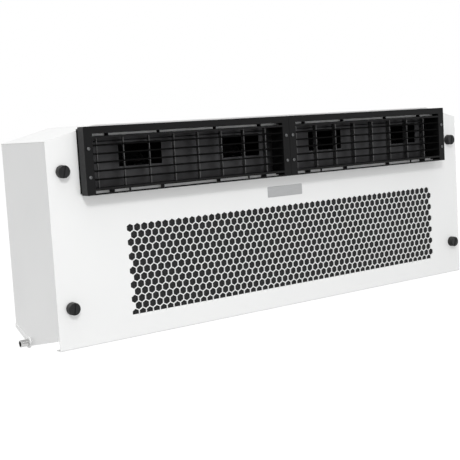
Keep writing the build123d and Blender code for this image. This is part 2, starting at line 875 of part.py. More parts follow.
# Blower deck: a tray that opens to the vents, and a shelf that the coil hangs from
duct_top = blower_axis_height + scroll_end_radius
duct_bottom = blower_axis_height + scroll_start_radius * sin(radians(cutoff_angle))
outlet_bottom = duct_bottom + scroll_wall
outlet_top = duct_top - scroll_wall
deck_rear = deck_depth + case_sheet
outlet_xs = [
    centre + step
    for centre in blower_centres.values()
    for step in (-outlet_spread / 2, outlet_spread / 2)
]
coil_rear_depth = coil_front_depth + coil_depth
with BuildPart() as blower_deck:
    with BuildSketch(frontal(case_front)):
        with BuildLine():
            floor = up(deck_bottom_height)
            roof = roof_points(case_sheet, deck_half_width)
            Polyline((-deck_half_width, floor), (deck_half_width, floor), *roof, close=True)
        make_face()
    extrude(amount=-(deck_rear - case_front))
    with BuildSketch(frontal(case_front)):
        with BuildLine():
            inner_half = deck_half_width - case_sheet
            floor = up(deck_bottom_height + case_sheet)
            roof = roof_points(2 * case_sheet, inner_half)
            Polyline((-inner_half, floor), (inner_half, floor), *roof, close=True)
        make_face()
    extrude(amount=-(deck_depth - case_front), mode=Mode.SUBTRACT)
    with BuildSketch(frontal(deck_depth)):
        for x in outlet_xs:
            with Locations((x, up((outlet_bottom + outlet_top) / 2))):
                Rectangle(outlet_width, outlet_top - outlet_bottom)
    extrude(amount=-case_sheet, mode=Mode.SUBTRACT)
    shelf_length = coil_right - coil_left + 2 * shelf_margin
    shelf_mid = (coil_left + coil_right) / 2
    with BuildSketch(frontal(deck_depth)):
        with Locations((shelf_mid, up((shelf_height + deck_bottom_height) / 2))):
            Rectangle(shelf_length, deck_bottom_height - shelf_height)
    extrude(amount=-case_sheet)
    with BuildSketch(level(shelf_height)):
        shelf_rear = coil_rear_depth + end_plate_margin
        with Locations((shelf_mid, back((deck_depth + shelf_rear) / 2))):
            Rectangle(shelf_length, shelf_rear - deck_depth)
    extrude(amount=case_sheet)
keep(blower_deck, "blower_deck")


# Blower scrolls: a spiral casing, open at both inlets, with its duct on the deck
def scroll_outline(inset, mouth_depth):
    """Draw a scroll's closed side outline, moved in by inset, as far forward as mouth_depth."""
    turn = 270 + cutoff_angle
    points = []
    for step in range(11):
        share = step / 10
        radius = scroll_start_radius + share * (scroll_end_radius - scroll_start_radius) - inset
        angle = radians(180 - cutoff_angle + share * turn)
        y = back(blower_axis_depth) + radius * cos(angle)
        z = up(blower_axis_height) + radius * sin(angle)
        points.append((y, z))
    lower = (back(mouth_depth), up(duct_bottom + inset))
    upper = (back(mouth_depth), up(duct_top - inset))
    tongue = (points[0][0], up(duct_bottom + inset))
    Spline(*points)
    Polyline(points[-1], upper, lower, tongue, points[0])


def scroll_side(x):
    """Side-view sketch plane at x."""
    return Plane.YZ.offset(x)


with BuildPart() as scrolls:
    for x in outlet_xs:
        inner_left = x - outlet_width / 2
        with BuildSketch(scroll_side(inner_left - scroll_wall)):
            with BuildLine():
                scroll_outline(0, deck_rear)
            make_face()
        extrude(amount=outlet_width + 2 * scroll_wall)
        with BuildSketch(frontal(deck_rear)):
            with Locations((x, up((duct_bottom + duct_top) / 2))):
                Rectangle(
                    outlet_width + 2 * scroll_flange,
                    duct_top - duct_bottom + 2 * (scroll_flange - scroll_wall),
                )
        extrude(amount=-scroll_wall)
        with BuildSketch(scroll_side(inner_left)):
            with BuildLine():
                scroll_outline(scroll_wall, deck_rear)
            make_face()
        extrude(amount=outlet_width, mode=Mode.SUBTRACT)
        with BuildSketch(scroll_side(inner_left - scroll_wall)):
            with Locations((back(blower_axis_depth), up(blower_axis_height))):
                Circle(inlet_radius)
        extrude(amount=outlet_width + 2 * scroll_wall, mode=Mode.SUBTRACT)
keep(scrolls, "blower_scrolls")

# Blower motors, each with a shaft out of both ends
with BuildPart() as motors:
    for centre in blower_centres.values():
        with BuildSketch(Plane.YZ.offset(centre)):
            with Locations((back(blower_axis_depth), up(blower_axis_height))):
                Circle(motor_radius)
        extrude(amount=motor_length / 2, both=True)
        with BuildSketch(Plane.YZ.offset(centre)):
            with Locations((back(blower_axis_depth), up(blower_axis_height))):
                Circle(motor_boss_radius)
        extrude(amount=motor_length / 2 + motor_boss_length, both=True)
        with BuildSketch(Plane.YZ.offset(centre)):
            with Locations((back(blower_axis_depth), up(blower_axis_height))):
                Circle(shaft_radius + shaft_play)
        extrude(amount=motor_length, both=True, mode=Mode.SUBTRACT)
keep(motors, "blower_motors")

# Motor cradles: a strap around each motor on a bracket from the deck
with BuildPart() as cradles:
    strap_inner = motor_radius + shaft_play
    for centre in blower_centres.values():
        with BuildSketch(Plane.YZ.offset(centre)):
            axis_y = back(blower_axis_depth)
            arm_length = axis_y - back(deck_rear)
            with Locations((axis_y - arm_length / 2, up(blower_axis_height))):
                Rectangle(arm_length, 2 * cradle_thickness)
            with Locations((back(deck_rear) + cradle_thickness / 2, up(blower_axis_height - cradle_drop))):
                Rectangle(cradle_thickness, cradle_foot)
            with Locations((axis_y, up(blower_axis_height))):
                Circle(strap_inner + cradle_thickness)
                Circle(strap_inner, mode=Mode.SUBTRACT)
        extrude(amount=cradle_width / 2, both=True)
keep(cradles, "motor_cradles")


# Blower rotors: a shaft with a double-inlet wheel on each end. The wheel is drawn once, about X.
with BuildPart() as wheel:
    with BuildSketch(Plane.YZ):
        Circle(wheel_radius)
    extrude(amount=wheel_ring / 2, both=True)
    with BuildSketch(Plane.YZ):
        Circle(wheel_hub_radius)
    extrude(amount=wheel_hub_length / 2, both=True)
    with BuildSketch(Plane.YZ.offset(-wheel_width / 2)):
        with PolarLocations(wheel_radius - wheel_blade_depth / 2, wheel_blades):
            Rectangle(wheel_blade_depth, wheel_blade_thickness)
    extrude(amount=wheel_width)
    for end in (-wheel_width / 2, wheel_width / 2 - wheel_ring):
        with BuildSketch(Plane.YZ.offset(end)):
            Circle(wheel_radius)
            Circle(wheel_radius - wheel_blade_depth, mode=Mode.SUBTRACT)
        extrude(amount=wheel_ring)
    with BuildSketch(Plane.YZ):
        Circle(shaft_radius + shaft_play / 2)
    extrude(amount=wheel_width, both=True, mode=Mode.SUBTRACT)


def make_rotor(node, centre):
    """One shaft and its two wheels."""
    axis = (back(blower_axis_depth), up(blower_axis_height))
    with BuildPart() as rotor:
        for x in (centre - outlet_spread / 2, centre + outlet_spread / 2):
            with Locations((x, *axis)):
                add(wheel.part, clean=False)
        with BuildSketch(Plane.YZ.offset(centre)):
            with Locations(axis):
                Circle(shaft_radius)
        extrude(amount=outlet_spread / 2 + shaft_overhang, both=True, clean=False)
    keep(rotor, node)


for side, centre in blower_centres.items():
    make_rotor(f"rotor_{side}", centre)

# Coil fins: one block with a hole for each tube
tube_grid = [(tube_depth(column), tube_height(row)) for row in range(tube_rows)
             for column in range(tube_columns)]
with BuildPart() as coil_fins:
    with BuildSketch(Plane.YZ.offset(coil_left)):
        with Locations((back(coil_front_depth + coil_depth / 2), up(coil_bottom_height + coil_height / 2))):
            Rectangle(coil_depth, coil_height)
        with Locations([(back(depth), up(height)) for depth, height in tube_grid]):
            Circle(tube_radius + tube_play, mode=Mode.SUBTRACT)
    extrude(amount=coil_right - coil_left)
keep(coil_fins, "coil_fins")

# Coil end plates, hung from the deck's shelf
with BuildPart() as coil_end_plates:
    plate_bottom = coil_bottom_height - end_plate_margin
    for x in (coil_left - end_plate, coil_right):
        with BuildSketch(Plane.YZ.offset(x)):
            with Locations((back(coil_front_depth + coil_depth / 2), up((plate_bottom + shelf_height) / 2))):
                Rectangle(coil_depth + 2 * end_plate_margin, shelf_height - plate_bottom)
            with Locations([(back(depth), up(height)) for depth, height in tube_grid]):
                Circle(tube_radius + tube_play, mode=Mode.SUBTRACT)
        extrude(amount=end_plate)
keep(coil_end_plates, "coil_end_plates")

# Coil tubes: four circuits of six passes, joined by bends at both ends
left_end = coil_left - end_plate - left_tube_reach
right_end = coil_right + end_plate + right_tube_reach
with BuildPart() as coil_tubes:
    with BuildSketch(Plane.YZ.offset(left_end)):
        with Locations([(back(depth), up(height)) for depth, height in tube_grid]):
            Circle(tube_radius)
    extrude(amount=right_end - left_end)
    for row in range(0, tube_rows, 2):
        for column in range(tube_columns):
            mid_height = (tube_height(row) + tube_height(row + 1)) / 2
            with BuildSketch(Plane.YZ.offset(right_end)):
                with Locations((back(tube_depth(column)), up(tube_height(row)))):
                    Circle(tube_radius)
            hairpin = Axis((right_end, back(tube_depth(column)), up(mid_height)), (0, 1, 0))
            revolve(axis=hairpin, revolution_arc=-180)
        for low_column, bend_row in ((0, row + 1), (1, row)):
            mid_depth = (tube_depth(low_column) + tube_depth(low_column + 1)) / 2
            with BuildSketch(Plane.YZ.offset(left_end)):
                with Locations((back(tube_depth(low_column)), up(tube_height(bend_row)))):
                    Circle(tube_radius)
            turn = Axis((left_end, back(mid_depth), up(tube_height(bend_row))), (0, 0, 1))
            revolve(axis=turn, revolution_arc=-180)
keep(coil_tubes, "coil_tubes")

# Suction header: a capped riser with a stub to each circuit and a line out through the back
with BuildPart() as suction_header:
    riser_foot = tube_height(1) - header_cap
    riser_top = tube_height(tube_rows - 1) + header_cap
    with BuildSketch(level(riser_foot)):
        with Locations((header_x, back(header_depth))):
            Circle(header_radius)
    extrude(amount=riser_top - riser_foot)
    for row in range(1, tube_rows, 2):
        with BuildSketch(Plane.YZ.offset(header_x)):
            with Locations((back(header_depth), up(tube_height(row)))):
                Circle(tube_radius)
        extrude(amount=left_end - header_x)
    with BuildSketch(frontal(header_depth)):
        with Locations((header_x, up(suction_height))):
            Circle(suction_radius)
    extrude(amount=-(case_depth + line_reach - header_depth))
    with BuildSketch(frontal(case_depth + line_reach - spigot_length)):
        with Locations((header_x, up(suction_height))):
            Circle(suction_radius + spigot_step)
    extrude(amount=-spigot_length)
keep(suction_header, "suction_header")

# Expansion valve: a block with a power head on top
valve_x = line_x
with BuildPart() as expansion_valve:
    with BuildSketch(level(line_height - valve_height / 2)):
        with Locations((valve_x, back(feeder_depth))):
            RectangleRounded(valve_width, valve_width, valve_corner)
    extrude(amount=valve_height)
    with BuildSketch(level(line_height + valve_height / 2)):
        with Locations((valve_x, back(feeder_depth))):
            Circle(valve_neck_radius)
    extrude(amount=valve_neck_height)
    with BuildSketch(level(line_height + valve_height / 2 + valve_neck_height)):
        with Locations((valve_x, back(feeder_depth))):
            Circle(valve_head_radius)
    extrude(amount=valve_head_height)
    head_rims = expansion_valve.edges().filter_by(GeomType.CIRCLE).group_by(Axis.Z)[-1]
    fillet(head_rims, valve_head_round)
keep(expansion_valve, "expansion_valve")

# Distributor and its four feeder tubes
valve_face = valve_x + valve_width / 2
feeder_start = valve_face + distributor_length
circuits = tube_rows // 2
with BuildPart() as distributor:
    with BuildSketch(Plane.YZ.offset(valve_face)):
        with Locations((back(feeder_depth), up(line_height))):
            Circle(distributor_radius)
    extrude(amount=distributor_length)
    for circuit in range(circuits):
        exit_height = line_height + (circuit - (circuits - 1) / 2) * feeder_exit_pitch
        outer = circuit in (0, circuits - 1)
        riser_x = feeder_start + (outer_feeder_run if outer else inner_feeder_run)
        target = tube_height(2 * circuit)
        y = back(feeder_depth)
        start = (feeder_start - 1, y, up(exit_height))
        with BuildLine():
            FilletPolyline(
                start,
                (riser_x, y, up(exit_height)),
                (riser_x, y, up(target)),
                (left_end, y, up(target)),
                radius=feeder_bend,
            )
        with BuildSketch(Plane.YZ.offset(start[0])):
            with Locations((y, up(exit_height))):
                Circle(feeder_radius)
        sweep()
keep(distributor, "distributor")

# Liquid line from the valve out through the back
with BuildPart() as liquid_line:
    with BuildSketch(frontal(feeder_depth + valve_width / 2)):
        with Locations((line_x, up(line_height))):
            Circle(liquid_radius)
    extrude(amount=-(case_depth + line_reach - feeder_depth - valve_width / 2))
    with BuildSketch(frontal(case_depth + line_reach - spigot_length)):
        with Locations((line_x, up(line_height))):
            Circle(liquid_radius + spigot_step)
    extrude(amount=-spigot_length)
keep(liquid_line, "liquid_line")

# Rubber grommets in the back panel: suction line, liquid line and cable entry
grommet_seats = (
    (header_x, suction_height, suction_hole_radius, suction_radius + grommet_play),
    (line_x, line_height, liquid_hole_radius, liquid_radius + grommet_play),
    (cable_x, cable_height, cable_hole_radius, cable_bore_radius),
)
with BuildPart() as grommets:
    for x, height, hole_radius, bore_radius in grommet_seats:
        for depth, radius, length in (
            (case_back - grommet_side, hole_radius + grommet_lip, grommet_side),
            (case_back, hole_radius - grommet_play, case_sheet),
            (case_depth, hole_radius + grommet_lip, grommet_side),
        ):
            with BuildSketch(frontal(depth)):
                with Locations((x, up(height))):
                    Circle(radius)
                    Circle(bore_radius, mode=Mode.SUBTRACT)
            extrude(amount=-length)
keep(grommets, "line_grommets")

# Terminal block inside the right end panel
with BuildPart() as terminal_block:
    inner_face = half_width - case_sheet
    terminal_mid = terminal_depth + terminal_length / 2
    with BuildSketch(Plane.YZ.offset(inner_face)):
        with Locations((back(terminal_mid), up(terminal_mid_height))):
            RectangleRounded(terminal_length, terminal_height, terminal_corner)
    extrude(amount=-terminal_thickness)
    with BuildSketch(Plane.YZ.offset(inner_face - terminal_thickness)):
        with Locations((back(terminal_mid), up(terminal_mid_height))):
            with GridLocations(terminal_pitch, 1, terminal_posts, 1):
                Circle(terminal_post_radius)
    extrude(amount=-terminal_post_height)
keep(terminal_block, "terminal_block")
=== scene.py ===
import json
import math

import bmesh
import bpy
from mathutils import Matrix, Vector, noise

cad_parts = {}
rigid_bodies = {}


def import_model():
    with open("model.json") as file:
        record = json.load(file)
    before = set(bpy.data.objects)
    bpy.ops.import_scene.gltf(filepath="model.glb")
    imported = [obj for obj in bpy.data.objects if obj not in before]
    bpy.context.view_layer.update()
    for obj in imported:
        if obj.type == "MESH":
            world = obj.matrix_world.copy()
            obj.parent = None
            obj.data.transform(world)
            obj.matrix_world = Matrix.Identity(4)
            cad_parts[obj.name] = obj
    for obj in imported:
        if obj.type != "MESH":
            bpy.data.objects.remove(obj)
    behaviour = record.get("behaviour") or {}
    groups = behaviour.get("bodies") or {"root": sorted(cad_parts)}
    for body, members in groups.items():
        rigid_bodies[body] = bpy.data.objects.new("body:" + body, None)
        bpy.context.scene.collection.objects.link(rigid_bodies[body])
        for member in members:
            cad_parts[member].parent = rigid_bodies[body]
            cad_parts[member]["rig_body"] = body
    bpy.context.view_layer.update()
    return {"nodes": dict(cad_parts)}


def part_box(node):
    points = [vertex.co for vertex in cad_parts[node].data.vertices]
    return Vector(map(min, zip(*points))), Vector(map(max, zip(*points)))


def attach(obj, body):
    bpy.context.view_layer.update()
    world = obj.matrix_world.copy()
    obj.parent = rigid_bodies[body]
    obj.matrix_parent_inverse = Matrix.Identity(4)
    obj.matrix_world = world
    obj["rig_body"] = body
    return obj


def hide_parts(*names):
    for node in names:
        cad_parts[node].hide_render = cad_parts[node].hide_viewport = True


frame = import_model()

bpy.ops.object.select_all(action="DESELECT")

# The view: the unit is seen from its left front, a little above its middle. The lens shift
# is only what the framing needs.
view = bpy.data.cameras.new("camera")
view.lens = 72.82
view.shift_x = -0.0018
view.shift_y = -0.0240
camera = bpy.data.objects.new("camera", view)
camera.location = (-1.1356, -1.5718, 0.1675)
camera.rotation_euler = [math.radians(angle) for angle in (84.3611, 3.3754, -36.0462)]
bpy.context.scene.collection.objects.link(camera)
bpy.context.scene.camera = camera
bpy.context.scene.view_settings.view_transform = "Standard"


# Case: back panel, two end panels, roof cover and V-shaped drain pan, all bent from thin steel
# sheet and powder coated white. The coat has a faint orange peel and hardly any mottle. The
# bends of the sheets that show are rounded, with a slightly whiter coat that is a painted
# highlight, mottled with darker patches where the coat wears thin.
def add_node(tree, kind, inputs=(), **settings):
    """Add a shader node. Each input gets a value, or the output of another node."""
    made = tree.nodes.new(kind)
    for setting, value in settings.items():
        setattr(made, setting, value)
    for socket, value in dict(inputs).items():
        if isinstance(value, bpy.types.NodeSocket):
            tree.links.new(value, made.inputs[socket])
        else:
            made.inputs[socket].default_value = value
    return made


def start_group(name, inputs, outputs):
    """Start a shader node group, and give its tree, its entry and its exit."""
    group = bpy.data.node_groups.new(name, "ShaderNodeTree")
    for socket, kind, value in inputs:
        entry = group.interface.new_socket(socket, in_out="INPUT", socket_type=kind)
        entry.default_value = value
    for socket, kind in outputs:
        group.interface.new_socket(socket, in_out="OUTPUT", socket_type=kind)
    return group, group.nodes.new("NodeGroupInput"), group.nodes.new("NodeGroupOutput")


# Mottle: two close colours in soft patches, with a mask of the same patches.
mottle, entry, leave = start_group(
    "mottle",
    [
        ("Colour", "NodeSocketColor", (0.8, 0.8, 0.8, 1)),
        ("Patch Colour", "NodeSocketColor", (0.7, 0.7, 0.7, 1)),
        ("Scale", "NodeSocketFloat", 20.0),
    ],
    [("Colour", "NodeSocketColor"), ("Mask", "NodeSocketFloat")],
)
place = add_node(mottle, "ShaderNodeTexCoord")
patches = add_node(
    mottle,
    "ShaderNodeTexNoise",
    {"Vector": place.outputs["Object"], "Scale": entry.outputs["Scale"], "Detail": 5.0},
)
spread = add_node(
    mottle,
    "ShaderNodeMapRange",
    {"Value": patches.outputs["Fac"], "From Min": 0.2, "From Max": 0.8},
)
blend = add_node(
    mottle,
    "ShaderNodeMix",
    {
        "Factor": spread.outputs["Result"],
        6: entry.outputs["Colour"],
        7: entry.outputs["Patch Colour"],
    },
    data_type="RGBA",
)
mottle.links.new(blend.outputs[2], leave.inputs["Colour"])
mottle.links.new(spread.outputs["Result"], leave.inputs["Mask"])

# Grain: a small even roughness of the surface, as a height.
grain, entry, leave = start_group(
    "grain", [("Scale", "NodeSocketFloat", 800.0)], [("Height", "NodeSocketFloat")]
)
place = add_node(grain, "ShaderNodeTexCoord")
fine = add_node(
    grain,
    "ShaderNodeTexNoise",
    {
        "Vector": place.outputs["Object"],
        "Scale": entry.outputs["Scale"],
        "Detail": 2.0,
        "Roughness": 0.5,
    },
)
grain.links.new(fine.outputs["Fac"], leave.inputs["Height"])

# Dust: a thin pale film that settles on what faces up.
dust, entry, leave = start_group(
    "dust",
    [
        ("Colour", "NodeSocketColor", (0.1, 0.1, 0.1, 1)),
        ("Dust Colour", "NodeSocketColor", (0.35, 0.34, 0.32, 1)),
        ("Amount", "NodeSocketFloat", 0.2),
    ],
    [("Colour", "NodeSocketColor")],
)
place = add_node(dust, "ShaderNodeTexCoord")
lie = add_node(dust, "ShaderNodeSeparateXYZ", {"Vector": place.outputs["Normal"]})
specks = add_node(
    dust,
    "ShaderNodeTexNoise",
    {"Vector": place.outputs["Object"], "Scale": 160.0, "Detail": 6.0},
)
facing = add_node(
    dust,
    "ShaderNodeMapRange",
    {"Value": lie.outputs["Z"], "From Min": 0.2, "From Max": 1.0},
)
film = add_node(
    dust,
    "ShaderNodeMath",
    {0: facing.outputs["Result"], 1: specks.outputs["Fac"]},
    operation="MULTIPLY",
)
share = add_node(
    dust,
    "ShaderNodeMath",
    {0: film.outputs[0], 1: entry.outputs["Amount"]},
    operation="MULTIPLY",
    use_clamp=True,
)
blend = add_node(
    dust,
    "ShaderNodeMix",
    {
        "Factor": share.outputs[0],
        6: entry.outputs["Colour"],
        7: entry.outputs["Dust Colour"],
    },
    data_type="RGBA",
)
dust.links.new(blend.outputs[2], leave.inputs["Colour"])


def start_material(name, **values):
    """Start a material with plain values on its shader, and give it, its tree and shader."""
    material = bpy.data.materials.new(name)
    material.use_nodes = True
    shader = material.node_tree.nodes["Principled BSDF"]
    for socket, value in values.items():
        shader.inputs[socket.replace("_", " ")].default_value = value
    return material, material.node_tree, shader


def place_group(tree, group, inputs):
    """Place a shared group in a material, with its own values."""
    return add_node(tree, "ShaderNodeGroup", inputs, node_tree=group)


def add_relief(tree, shader, height, depth, strength=1.0):
    """Raise the surface by a height, depth metres at most."""
    bump = add_node(
        tree, "ShaderNodeBump", {"Height": height, "Distance": depth, "Strength": strength}
    )
    tree.links.new(bump.outputs["Normal"], shader.inputs["Normal"])


def vary_roughness(tree, shader, mask, smooth, rough):
    """Let the roughness follow a mask."""
    between = add_node(
        tree, "ShaderNodeMapRange", {"Value": mask, "To Min": smooth, "To Max": rough}
    )
    tree.links.new(between.outputs["Result"], shader.inputs["Roughness"])


def paint(material, *nodes):
    """Give CAD nodes a finish."""
    for node in nodes:
        slots = frame["nodes"][node].data.materials
        slots.clear()
        slots.append(material)


def work_on(piece):
    """Select one piece alone."""
    bpy.ops.object.select_all(action="DESELECT")
    piece.select_set(True)
    bpy.context.view_layer.objects.active = piece


# A CAD node comes as loose triangles. Points this close are one point, and faces that turn by
# no more than this many degrees are one face.
same_point = 1e-6
same_plane = 0.5
smooth_below = 35


def rounded_copy(node, name, radius, materials, segments=2, sharper_than=50):
    """A copy of a CAD node with its sharp edges rounded, which stands for the node."""
    source = frame["nodes"][node]
    piece = bpy.data.objects.new(name, source.data.copy())
    bpy.context.scene.collection.objects.link(piece)
    piece.data.materials.clear()
    for material in materials:
        piece.data.materials.append(material)
    work_on(piece)
    bpy.ops.mesh.customdata_custom_splitnormals_clear()
    bpy.ops.object.mode_set(mode="EDIT")
    bpy.ops.mesh.select_all(action="SELECT")
    bpy.ops.mesh.remove_doubles(threshold=same_point)
    bpy.ops.mesh.dissolve_limited(angle_limit=math.radians(same_plane))
    bpy.ops.object.mode_set(mode="OBJECT")
    bevel = piece.modifiers.new("rounding", "BEVEL")
    bevel.width = radius
    bevel.segments = segments
    bevel.limit_method = "ANGLE"
    bevel.angle_limit = math.radians(sharper_than)
    bevel.use_clamp_overlap = True
    # The rounded faces take the last material; for the coated sheets and the vent bezels it
    # carries a painted highlight.
    bevel.material = len(materials) - 1
    bpy.ops.object.modifier_apply(modifier="rounding")
    bpy.ops.object.shade_smooth_by_angle(angle=math.radians(smooth_below))
    flatten = piece.modifiers.new("flat_faces", "WEIGHTED_NORMAL")
    flatten.keep_sharp = True
    flatten.weight = 100
    bpy.ops.object.modifier_apply(modifier="flat_faces")
    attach(piece, source["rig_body"])
    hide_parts(node)
    return piece


coat_white = (0.80, 0.803, 0.80, 1)
coat_shade = (0.775, 0.78, 0.778, 1)
powder_coat, tree, shader = start_material("white_powder_coat", Roughness=0.42)
patches = place_group(
    tree, mottle, {"Colour": coat_white, "Patch Colour": coat_shade, "Scale": 9.0}
)
tree.links.new(patches.outputs["Colour"], shader.inputs["Base Color"])
vary_roughness(tree, shader, patches.outputs["Mask"], 0.38, 0.46)
peel = place_group(tree, grain, {"Scale": 650.0})
add_relief(tree, shader, peel.outputs["Height"], 0.00006, 0.5)

# Bends: a whiter coat, a painted highlight along the rounded edges, in patches with a darker worn
# coat.
bend_highlight_white = (0.83, 0.83, 0.82, 1)
bend_worn = (0.70, 0.70, 0.69, 1)
coat_bend_highlight_and_wear, tree, shader = start_material("white_powder_coat_bend_highlight_and_wear", Roughness=0.36)
patches = place_group(
    tree, mottle, {"Colour": bend_highlight_white, "Patch Colour": bend_worn, "Scale": 120.0}
)
tree.links.new(patches.outputs["Colour"], shader.inputs["Base Color"])

bend_radius = 0.0007
for node, name in (
    ("left_end_panel", "left_end_sheet"),
    ("right_end_panel", "right_end_sheet"),
    ("top_cover", "roof_sheet"),
    ("drain_pan", "pan_sheet"),
    ("back_panel", "back_sheet"),
):
    rounded_copy(node, name, bend_radius, [powder_coat, coat_bend_highlight_and_wear])

# Front panel: one flat sheet with its return-air perforations, folded back along the bottom.
# Punching leaves a small roll on each edge, which the coat fills out.
punched_roll = 0.00035
rounded_copy(
    "front_panel",
    "front_sheet",
    punched_roll,
    [powder_coat, coat_bend_highlight_and_wear],
    sharper_than=65,
)

# Filter channels: two strips of the same coated sheet, above and below the filter. Each is
# folded to a channel that holds one edge of the filter behind the perforations.
channel_fold = 0.0003
rounded_copy(
    "filter_channels", "filter_rails", channel_fold, [powder_coat, coat_bend_highlight_and_wear]
)

# Filter: a pad of dark open-cell foam, cut with soft corners and a little uneven. It is held
# by its edges in the two channels.
foam_grey = (0.036, 0.0365, 0.0375, 1)
foam_shade = (0.026, 0.0263, 0.0272, 1)
foam_pore_shade = (0.006, 0.006, 0.0065, 1)
foam, tree, shader = start_material(
    "filter_foam", Roughness=0.95, Sheen_Weight=0.08, Specular_IOR_Level=0.2
)
place = add_node(tree, "ShaderNodeTexCoord")
cells = add_node(
    tree,
    "ShaderNodeTexVoronoi",
    {"Vector": place.outputs["Object"], "Scale": 620.0},
    feature="DISTANCE_TO_EDGE",
)
strands = add_node(
    tree,
    "ShaderNodeMapRange",
    {
        "Value": cells.outputs["Distance"],
        "From Min": 0.03,
        "From Max": 0.22,
        "To Min": 1.0,
        "To Max": 0.0,
    },
)
patches = place_group(
    tree, mottle, {"Colour": foam_grey, "Patch Colour": foam_shade, "Scale": 45.0}
)
# The cells between the strands are painted near black, painted shade inside the open pores.
pore_shade = add_node(
    tree,
    "ShaderNodeMix",
    {"Factor": strands.outputs["Result"], 6: foam_pore_shade, 7: patches.outputs["Colour"]},
    data_type="RGBA",
)
tree.links.new(pore_shade.outputs[2], shader.inputs["Base Color"])
add_relief(tree, shader, strands.outputs["Result"], 0.0006)

low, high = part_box("filter_media")
bpy.ops.object.select_all(action="DESELECT")
bpy.ops.mesh.primitive_cube_add(size=1, location=(low + high) / 2)
pad = bpy.context.object
pad.name = "foam_filter"
pad.scale = high - low
bpy.ops.object.transform_apply(location=True, rotation=True, scale=True)
bpy.ops.object.mode_set(mode="EDIT")
cell = 0.006
for axis in (0, 2):
    mesh = bmesh.from_edit_mesh(pad.data)
    for edge in mesh.edges:
        run = edge.verts[0].co - edge.verts[1].co
        edge.select_set(abs(run[axis]) > 0.9 * (high - low)[axis])
    bmesh.update_edit_mesh(pad.data)
    bpy.ops.mesh.select_mode(type="EDGE")
    cuts = round((high - low)[axis] / cell)
    bpy.ops.mesh.subdivide(number_cuts=cuts)
    bpy.ops.mesh.select_all(action="DESELECT")
bpy.ops.object.mode_set(mode="OBJECT")
pad_corner = 0.0014
soft_corner = pad.modifiers.new("soft_corner", "BEVEL")
soft_corner.width = pad_corner
soft_corner.segments = 3
soft_corner.angle_limit = math.radians(60)
bpy.ops.object.modifier_apply(modifier="soft_corner")
foam_unevenness = 0.0004
waves_per_metre = 60
middle = (low + high) / 2
for vertex in pad.data.vertices:
    wave = noise.noise(Vector((vertex.co.x, 0, vertex.co.z)) * waves_per_metre)
    inward = math.copysign(1, middle.y - vertex.co.y)
    vertex.co.y += inward * foam_unevenness * (0.5 + 0.5 * wave)
pad.data.materials.append(foam)
bpy.ops.object.shade_smooth_by_angle(angle=math.radians(50))
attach(pad, "removable_panel")
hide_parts("filter_media")

# Nameplate: a thin satin aluminium plate with rounded corners, brushed along its length. It is
# bare, with one engraved line inside its edge.
# The plate's greys are much darker than bare aluminium: painted shade that stands for dim
# reflections. The streaks between the two greys are its brushing.
brushed_dark_shaded = (0.36, 0.364, 0.368, 1)
brushed_light_shaded = (0.50, 0.505, 0.51, 1)
aluminium, tree, shader = start_material("satin_aluminium", Metallic=1.0)
place = add_node(tree, "ShaderNodeTexCoord")
stretch = add_node(
    tree,
    "ShaderNodeMapping",
    {"Vector": place.outputs["Object"], "Scale": (60.0, 900.0, 2600.0)},
)
strokes = add_node(
    tree, "ShaderNodeTexNoise", {"Vector": stretch.outputs["Vector"], "Scale": 1.0, "Detail": 4.0}
)
shine = add_node(
    tree,
    "ShaderNodeMix",
    {"Factor": strokes.outputs["Fac"], 6: brushed_dark_shaded, 7: brushed_light_shaded},
    data_type="RGBA",
)
tree.links.new(shine.outputs[2], shader.inputs["Base Color"])
vary_roughness(tree, shader, strokes.outputs["Fac"], 0.30, 0.48)
add_relief(tree, shader, strokes.outputs["Fac"], 0.00004, 0.5)

low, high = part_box("nameplate")
bpy.ops.object.select_all(action="DESELECT")
bpy.ops.mesh.primitive_cube_add(size=1, location=(low + high) / 2)
plate = bpy.context.object
plate.name = "bare_nameplate"
plate.scale = high - low
bpy.ops.object.transform_apply(location=True, rotation=True, scale=True)
bpy.ops.object.mode_set(mode="EDIT")


def select_faces(piece, chosen):
    """Select the faces for which chosen is true, and nothing else."""
    bpy.ops.mesh.select_all(action="DESELECT")
    bpy.ops.mesh.select_mode(type="FACE")
    mesh = bmesh.from_edit_mesh(piece.data)
    for face in mesh.faces:
        if chosen(face):
            face.select_set(True)
    bmesh.update_edit_mesh(piece.data)


def select_edges(piece, chosen):
    """Select the edges for which chosen is true, and nothing else."""
    bpy.ops.mesh.select_all(action="DESELECT")
    bpy.ops.mesh.select_mode(type="EDGE")
    mesh = bmesh.from_edit_mesh(piece.data)
    for edge in mesh.edges:
        if chosen(edge):
            edge.select_set(True)
    bmesh.update_edit_mesh(piece.data)


plate_corner = 0.0015
half_thickness = (high.y - low.y) / 2
face_edge = 0.0001
line_margin = 0.0008
line_wall = 0.0001
line_floor = 0.00015
line_depth = 0.0001
select_edges(
    plate, lambda edge: abs((edge.verts[0].co - edge.verts[1].co).y) > half_thickness
)
bpy.ops.mesh.bevel(offset=plate_corner, segments=6)
select_faces(plate, lambda face: face.normal.y < -0.9)
for thickness, depth in (
    (face_edge, 0.0),
    (line_margin, 0.0),
    (line_wall, -line_depth),
    (line_floor, 0.0),
    (line_wall, line_depth),
):
    bpy.ops.mesh.inset(thickness=thickness, depth=depth)
bpy.ops.object.mode_set(mode="OBJECT")
plate.data.materials.append(aluminium)
bpy.ops.object.shade_smooth_by_angle(angle=math.radians(30))
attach(plate, "removable_panel")
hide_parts("nameplate")

